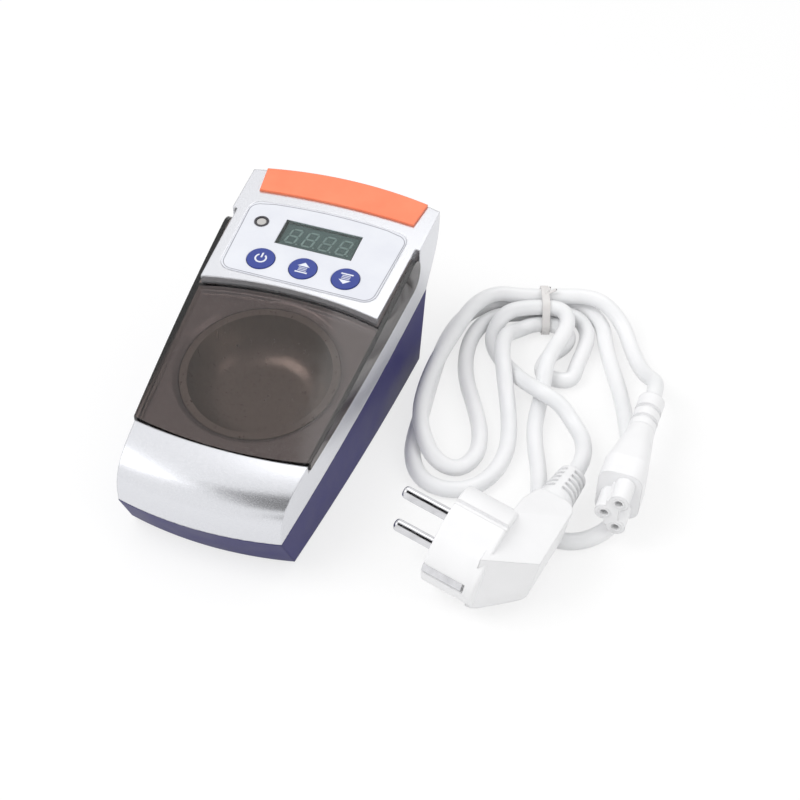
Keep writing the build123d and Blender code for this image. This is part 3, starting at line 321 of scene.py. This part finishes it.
def paint_nodes():
    """Gives each CAD node the finish of its material slot."""
    slots = {part["node"]: part["material_slot"] for part in frame["record"]["subparts"]}
    for name, node in nodes.items():
        node.data.materials.clear()
        node.data.materials.append(finishes[slots[name]])


# ---------------------------------------------------------------- studio
world_fill = 0.72          # on matt surfaces, where 1 is white
floor_glow = 0.72          # of the floor's white as the camera sees it
floor_size = 6.0
card_aim = Vector((0.02, 0.0, 0.03))
cards = (                  # name, place, width, height and level
    ("dark_card", (0.22, -0.44, 1.06), 1.0, 0.85, 0.0),
    ("low_card", (0.34, -0.95, 0.42), 0.5, 0.3, 0.0),
    ("left_card", (-0.82, -0.3, 0.9), 0.6, 0.7, 2.2),
    ("rear_card", (0.02, 0.52, 1.10), 0.68, 0.42, 2.4),
)
lamps = (                  # name, place, aim, size and watts
    ("key", (-0.55, -0.35, 1.0), (0.03, 0.0, 0.0), 0.7, 6.0),
    ("fill", (0.9, -0.2, 0.7), (0.05, 0.0, 0.02), 0.6, 1.6),
)


def sees_backdrop(tree):
    """1 for the rays that look at the backdrop: from the camera, off gloss and through glass."""
    paths = tree.nodes.new("ShaderNodeLightPath")
    most = paths.outputs["Is Camera Ray"]
    for name in ("Is Glossy Ray", "Is Transmission Ray"):
        larger = tree.nodes.new("ShaderNodeMath")
        larger.operation = "MAXIMUM"
        tree.links.new(most, larger.inputs[0])
        tree.links.new(paths.outputs[name], larger.inputs[1])
        most = larger.outputs["Value"]
    return most


def light_world():
    """White to the eye and in reflections, softer as a lamp."""
    world = bpy.data.worlds.new("studio")
    scene.world = world
    world.use_nodes = True
    tree = world.node_tree
    plain = tree.nodes["Background"]
    plain.inputs["Strength"].default_value = world_fill
    plain.inputs["Color"].default_value = white
    backdrop = tree.nodes.new("ShaderNodeBackground")
    backdrop.inputs["Color"].default_value = white
    mix = tree.nodes.new("ShaderNodeMixShader")
    tree.links.new(sees_backdrop(tree), mix.inputs["Fac"])
    tree.links.new(plain.outputs["Background"], mix.inputs[1])
    tree.links.new(backdrop.outputs["Background"], mix.inputs[2])
    tree.links.new(mix.outputs["Shader"], tree.nodes["World Output"].inputs["Surface"])


def add_floor():
    """A pale bench top that keeps the shadows."""
    bpy.ops.mesh.primitive_plane_add(size=floor_size, location=(0, 0, 0))
    floor = bpy.context.object
    floor.name = "floor"
    finish = Finish("floor_white")
    finish.set(Base_Color=(0.8, 0.8, 0.8, 1), Roughness=0.9, Specular_IOR_Level=0.0)
    seen = finish.node("ShaderNodeBsdfDiffuse")
    seen.inputs["Color"].default_value = (1 - floor_glow, 1 - floor_glow, 1 - floor_glow, 1)
    glow = finish.node("ShaderNodeEmission")
    glow.inputs["Strength"].default_value = floor_glow
    both = finish.node("ShaderNodeAddShader")
    mix = finish.node("ShaderNodeMixShader")
    finish.link(seen.outputs["BSDF"], both.inputs[0])
    finish.link(glow.outputs["Emission"], both.inputs[1])
    finish.link(sees_backdrop(finish.tree), mix.inputs["Fac"])
    finish.link(finish.shader.outputs["BSDF"], mix.inputs[1])
    finish.link(both.outputs["Shader"], mix.inputs[2])
    finish.link(mix.outputs["Shader"], finish.output.inputs["Surface"])
    floor.data.materials.append(finish.material)


def add_lamp(name, place, aim, size, watts):
    """A square soft lamp that gloss doesn't show."""
    data = bpy.data.lights.new(name, "AREA")
    data.size = size
    data.energy = watts
    lamp = bpy.data.objects.new(name, data)
    lamp.location = place
    lamp.rotation_mode = "QUATERNION"
    lamp.rotation_quaternion = (Vector(aim) - Vector(place)).to_track_quat("-Z", "Y")
    lamp.visible_glossy = False
    scene.collection.objects.link(lamp)


def add_card(name, place, wide, tall, level):
    """A card that faces the heater, seen only in gloss: black at level 0, glowing above it."""
    bpy.ops.mesh.primitive_plane_add(size=1.0, location=place)
    card = bpy.context.object
    card.name = name
    card.scale = (wide, tall, 1)
    card.rotation_mode = "QUATERNION"
    card.rotation_quaternion = (card_aim - Vector(place)).to_track_quat("-Z", "Y")
    finish = Finish(name)
    finish.set(Base_Color=(0.01, 0.01, 0.01, 1), Roughness=0.9, Specular_IOR_Level=0.0)
    finish.set(Emission_Color=white, Emission_Strength=level)
    card.data.materials.append(finish.material)
    card.visible_camera = False
    card.visible_diffuse = False
    card.visible_shadow = False
    card.visible_transmission = False


# ---------------------------------------------------------------- pieces in mesh code
def add_piece(name, mesh, finish, body):
    """Makes an object of a bmesh, riding on a body."""
    bmesh.ops.recalc_face_normals(mesh, faces=mesh.faces)
    data = bpy.data.meshes.new(name)
    mesh.to_mesh(data)
    mesh.free()
    data.materials.append(finish)
    piece = bpy.data.objects.new(name, data)
    scene.collection.objects.link(piece)
    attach(piece, body)
    return piece


def prism(mesh, outline, plane, low, high):
    """Adds a straight prism on a convex outline, from low to high above a plane."""
    foot = [mesh.verts.new(plane @ Vector((u, v, low))) for u, v in outline]
    head = [mesh.verts.new(plane @ Vector((u, v, high))) for u, v in outline]
    mesh.faces.new(foot[::-1])
    mesh.faces.new(head)
    for i, corner in enumerate(foot):
        after = (i + 1) % len(foot)
        mesh.faces.new((corner, foot[after], head[after], head[i]))


def band(mesh, inner, outer, plane, low, high, closed=True):
    """Adds a flat band between two outlines of as many points."""
    rings = []
    for (a, b), (c, d) in zip(inner, outer):
        corners = ((a, b, low), (c, d, low), (c, d, high), (a, b, high))
        rings.append([mesh.verts.new(plane @ Vector(corner)) for corner in corners])
    pairs = list(zip(rings, rings[1:]))
    if closed:
        pairs.append((rings[-1], rings[0]))
    else:
        mesh.faces.new(rings[0][::-1])
        mesh.faces.new(rings[-1])
    for first, second in pairs:
        for i in range(4):
            after = (i + 1) % 4
            mesh.faces.new((first[i], first[after], second[after], second[i]))


def arc(radius, start, end, steps, centre=(0, 0)):
    """Points on an arc, from start to end degrees."""
    turns = [radians(start + (end - start) * i / steps) for i in range(steps + 1)]
    return [(centre[0] + radius * cos(turn), centre[1] + radius * sin(turn)) for turn in turns]


circle_sides = 12


def circle(radius, centre=(0, 0)):
    """Outline of a small round thing."""
    return arc(radius, 0, 360 - 360 / circle_sides, circle_sides - 1, centre)


def rectangle(half, low, high):
    """Outline of a rectangle across the middle, from low to high."""
    return [(-half, low), (half, low), (half, high), (-half, high)]


# ---------------------------------------------------------------- control panel
panel_slope = radians(6.3)
panel_front = 15.8 * mm
panel_height = 57.4 * mm
print_thickness = 0.03 * mm


def panel_plane(x, y, lift=0.0):
    """Frame on the panel at x and y, lifted off it: its third axis points out of the panel."""
    up = panel_height + (y - panel_front) * tan(panel_slope)
    tilt = Matrix.Rotation(panel_slope, 4, "X")
    return Matrix.Translation((x, y, up)) @ tilt @ Matrix.Translation((0, 0, lift))


label_front = 18.0 * mm
label_back = 56.0 * mm
label_front_half = 31.6 * mm
label_rear_half = 33.0 * mm
label_corner = 5.0 * mm
label_bow = 2.6 * mm
label_top = 0.1 * mm
outline_inset = 0.5 * mm
outline_width = 0.28 * mm
corner_steps = 8           # of each rounded corner
corner_stop = 6            # degrees by which a rear corner stops short of the bowed edge
edge_steps = 12            # of the bowed rear edge
edge_reach = 0.1           # share of a corner's radius that the bowed edge runs on past its centre
edge_drop = 0.06 * mm      # of the bowed edge, so that it meets its corners


def label_outline(inset):
    """The label's outline on its plane, moved in by inset, about the middle of its front edge."""
    radius = label_corner - inset
    length = (label_back - label_front) / cos(panel_slope)
    front = label_front_half - label_corner
    rear = label_rear_half - label_corner
    points = arc(radius, 180, 270, corner_steps, (-front, label_corner))
    points += arc(radius, 270, 360, corner_steps, (front, label_corner))
    points += arc(radius, 0, 90 - corner_stop, corner_steps, (rear, length - label_corner))
    for i in range(1, edge_steps):
        x = (rear + radius * edge_reach) * (1 - 2 * i / edge_steps)
        bow = label_bow * (1 - (x / label_rear_half) ** 2)
        points.append((x, length - inset + bow - edge_drop))
    points += arc(radius, 90 + corner_stop, 180, corner_steps, (-rear, length - label_corner))
    return points


def add_label_outline():
    """The thin grey line round the label."""
    mesh = bmesh.new()
    plane = panel_plane(0, label_front, label_top)
    inner = label_outline(outline_inset + outline_width)
    band(mesh, inner, label_outline(outline_inset), plane, 0, print_thickness)
    add_piece("label_outline", mesh, outline_grey, "housing")


button_pitch = 17.4 * mm
button_back = 27.0 * mm
button_proud = 0.5 * mm
window_back = 43.5 * mm
window_depth = 2.1 * mm

arrow_tip = 3.0 * mm
arrow_brow = 0.9 * mm      # foot of the arrow's head
arrow_half = 2.5 * mm      # half width of the head, and of the bar at the tail
bar_top = -1.9 * mm
bar_tall = 0.7 * mm
stripe_half = 1.7 * mm
stripe_top = 0.5 * mm      # of the stripe next to the head
stripe_tall = 0.4 * mm
stripe_pitch = 0.8 * mm
stripe_count = 3

ring_inner = 1.75 * mm     # the standby sign's ring
ring_outer = 2.45 * mm
ring_start = 125           # degrees: the ring is open at the top
ring_end = 415
ring_steps = 36
stroke_half = 0.35 * mm    # and the stroke in its gap
stroke_foot = 0.4 * mm
stroke_top = 2.9 * mm


def arrow(mesh, plane, way):
    """A plain arrow head over stripes and a bar, pointing up the panel for way 1 and down for -1."""
    brow = arrow_brow * way
    head = [(-arrow_half * way, brow), (arrow_half * way, brow), (0, arrow_tip * way)]
    prism(mesh, head, plane, 0, print_thickness)
    strips = [(stripe_half, stripe_top - i * stripe_pitch, stripe_tall) for i in range(stripe_count)]
    strips.append((arrow_half, bar_top, bar_tall))
    for half, top, tall in strips:
        low, high = sorted(((top - tall) * way, top * way))
        prism(mesh, rectangle(half, low, high), plane, 0, print_thickness)


def standby(mesh, plane):
    """A plain standby sign: an open ring and a stroke."""
    inner = arc(ring_inner, ring_start, ring_end, ring_steps)
    outer = arc(ring_outer, ring_start, ring_end, ring_steps)
    band(mesh, inner, outer, plane, 0, print_thickness, closed=False)
    prism(mesh, rectangle(stroke_half, stroke_foot, stroke_top), plane, 0, print_thickness)


def add_symbols():
    """The white print on the three button caps."""
    for step, name in ((-1, "left"), (0, "middle"), (1, "right")):
        mesh = bmesh.new()
        plane = panel_plane(step * button_pitch, button_back, button_proud)
        if name == "left":
            standby(mesh, plane)
        else:
            arrow(mesh, plane, 1 if name == "middle" else -1)
        add_piece("button_print_" + name, mesh, print_white, "button_" + name)


digit_count = 4
digit_pitch = 7.0 * mm
digit_wide = 3.9 * mm
digit_tall = 7.6 * mm
digit_slant = 0.16
segment_half = 0.42 * mm
segment_gap = 0.14 * mm
segment_thickness = 0.06 * mm
point_radius = 0.4 * mm
point_gap = 0.55 * mm      # from a digit's right side to the middle of its point


def segment(mesh, plane, start, end, shift):
    """One six-sided bar of a digit."""
    a, b = Vector(start), Vector(end)
    along = (b - a).normalized()
    across = Vector((-along.y, along.x)) * segment_half
    a, b = a + along * segment_gap, b - along * segment_gap
    inset = along * segment_half
    corners = [a, a + inset - across, b - inset - across, b, b - inset + across, a + inset + across]
    outline = [(p.x + p.y * digit_slant + shift, p.y) for p in corners]
    prism(mesh, outline, plane, 0, segment_thickness)


def add_digits():
    """Four unlit digits with their points, on the display's face under the window."""
    mesh = bmesh.new()
    plane = panel_plane(0, window_back, -window_depth)
    wide, tall = digit_wide / 2, digit_tall / 2
    bars = [((-wide, y), (wide, y)) for y in (tall, 0, -tall)]
    bars += [((x, low), (x, high)) for low, high in ((0, tall), (-tall, 0)) for x in (-wide, wide)]
    for place in range(digit_count):
        shift = (place - (digit_count - 1) / 2) * digit_pitch
        for start, end in bars:
            segment(mesh, plane, start, end, shift)
        point = circle(point_radius, (shift + wide + point_gap, -tall))
        prism(mesh, point, plane, 0, segment_thickness)
    add_piece("digit_segments", mesh, segment_grey, "housing")


# ---------------------------------------------------------------- mains lead
cable_diameter = 6.5 * mm
lead_route = [
    (0.137, 0.045, 0.0182), (0.137, 0.054, 0.0182), (0.1345, 0.063, 0.013), (0.128, 0.0745, 0.005),
    (0.1205, 0.0875, 0.0034), (0.114, 0.0985, 0.0064), (0.104, 0.1045, 0.0113), (0.095, 0.1055, 0.0113),
    (0.087, 0.1032, 0.0107), (0.0702, 0.0968, 0.0107), (0.0592, 0.0952, 0.0109), (0.0525, 0.085, 0.0106),
    (0.0505, 0.069, 0.0106), (0.049, 0.05, 0.0106), (0.0495, 0.032, 0.0106), (0.052, 0.017, 0.0106),
    (0.057, 0.005, 0.0105), (0.065, -0.003, 0.006), (0.0745, -0.0025, 0.0034), (0.079, 0.008, 0.0034),
    (0.076, 0.021, 0.0034), (0.0695, 0.0335, 0.0034), (0.062, 0.046, 0.0034), (0.057, 0.06, 0.0034),
    (0.0555, 0.075, 0.0034), (0.0595, 0.088, 0.0034), (0.0715, 0.0935, 0.0045), (0.0883, 0.0999, 0.0045),
    (0.096, 0.0987, 0.0034), (0.101, 0.091, 0.0034), (0.1018, 0.08, 0.0034), (0.1015, 0.071, 0.0034),
    (0.102, 0.06, 0.0034), (0.0885, 0.06, 0.0034), (0.0885, 0.0715, 0.0034), (0.0942, 0.081, 0.0034),
    (0.0933, 0.0888, 0.0034), (0.086, 0.0914, 0.0045), (0.0778, 0.0883, 0.0045), (0.0723, 0.081, 0.0048),
    (0.0703, 0.071, 0.0107), (0.072, 0.061, 0.0109), (0.076, 0.0505, 0.0108), (0.0815, 0.039, 0.0048),
    (0.086, 0.027, 0.0034), (0.089, 0.014, 0.0034), (0.088, 0.001, 0.0034), (0.0825, -0.0095, 0.0034),
    (0.073, -0.014, 0.0034), (0.0625, -0.012, 0.0034), (0.0555, -0.0025, 0.0034), (0.0525, 0.01, 0.0034),
    (0.051, 0.024, 0.0034), (0.049, 0.038, 0.0034), (0.047, 0.054, 0.0034), (0.0465, 0.07, 0.0034),
    (0.0485, 0.0845, 0.0034), (0.056, 0.0953, 0.0034), (0.069, 0.1002, 0.0045), (0.0858, 0.1067, 0.0045),
    (0.0965, 0.1068, 0.0034), (0.105, 0.0995, 0.0034), (0.1096, 0.0865, 0.0034), (0.116, 0.073, 0.0034),
    (0.123, 0.0595, 0.0034), (0.1285, 0.0455, 0.0034), (0.1335, 0.031, 0.0034), (0.137, 0.016, 0.0034),
    (0.1385, 0.001, 0.0034), (0.136, -0.012, 0.0034), (0.128, -0.0215, 0.0034), (0.1175, -0.024, 0.0034),
    (0.1095, -0.0165, 0.0034), (0.107, -0.004, 0.0034), (0.1035, 0.008, 0.0034), (0.0985, 0.02, 0.0034),
    (0.095, 0.031, 0.0034), (0.0935, 0.0415, 0.0034), (0.093, 0.0496, 0.0042), (0.091, 0.0586, 0.0113),
    (0.0915, 0.07, 0.0108), (0.093, 0.08, 0.011), (0.0925, 0.089, 0.0112), (0.087, 0.0955, 0.0107),
    (0.0727, 0.0902, 0.0107), (0.0653, 0.0852, 0.0092), (0.0632, 0.076, 0.0034), (0.068, 0.0668, 0.0034),
    (0.076, 0.0593, 0.0034), (0.0845, 0.0506, 0.0072), (0.093, 0.042, 0.0124), (0.1025, 0.04, 0.0105),
    (0.11, 0.0345, 0.0065), (0.116, 0.0265, 0.007), (0.1193, 0.0126, 0.0099), (0.1176, 0.0008, 0.0119),
]


tie_top = Vector((0.0799, 0.0967, 0.0146))     # where the tie's ends leave it
tail_ends = (Vector((0.0809, 0.0993, 0.0166)), Vector((0.0834, 0.0999, 0.0158)))
tail_radius = 0.6 * mm
wire_radius = 0.32 * mm
wire_out = 0.35 * mm       # how far the wire shows past its sleeve


def add_tie_tails():
    """The tie's two short ends on top of the hank, with their wire showing."""
    sleeves, wires = bmesh.new(), bmesh.new()
    for end in tail_ends:
        way = end - tie_top
        plane = Matrix.Translation(tie_top) @ way.to_track_quat("Z", "Y").to_matrix().to_4x4()
        prism(sleeves, circle(tail_radius), plane, 0, way.length)
        prism(wires, circle(wire_radius), plane, way.length - wire_out, way.length + wire_out)
    tails = add_piece("tie_tails", sleeves, finishes["tie_grey"], "housing")
    cores = add_piece("tie_wires", wires, finishes["black_plastic"], "housing")
    return [tails, cores]


def add_lead():
    """The whole lead on one smooth curve, from the appliance connector to the plug."""
    curve = bpy.data.curves.new("lead", "CURVE")
    curve.dimensions = "3D"
    spline = curve.splines.new("NURBS")
    spline.points.add(len(lead_route) - 1)
    for point, place in zip(spline.points, lead_route):
        point.co = (*place, 1.0)
    spline.order_u = 3
    spline.use_endpoint_u = True
    spline.resolution_u = 8
    curve.bevel_depth = cable_diameter / 2
    curve.bevel_resolution = 8
    curve.use_fill_caps = True
    curve.materials.append(finishes["white_cable"])
    lead = bpy.data.objects.new("lead", curve)
    scene.collection.objects.link(lead)
    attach(lead, "housing")
    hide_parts("lead_cable")
    on_it = ("lead_connector", "connector_relief", "mains_plug", "plug_strain_relief", "plug_pins",
             "plug_earth_clips", "cable_tie")
    [nodes[name] for name in on_it] + add_tie_tails()


add_camera()
light_world()
add_floor()
for card in cards:
    add_card(*card)
for lamp in lamps:
    add_lamp(*lamp)
paint_nodes()
add_label_outline()
add_symbols()
add_digits()
add_lead()

scene.view_settings.view_transform = "Standard"
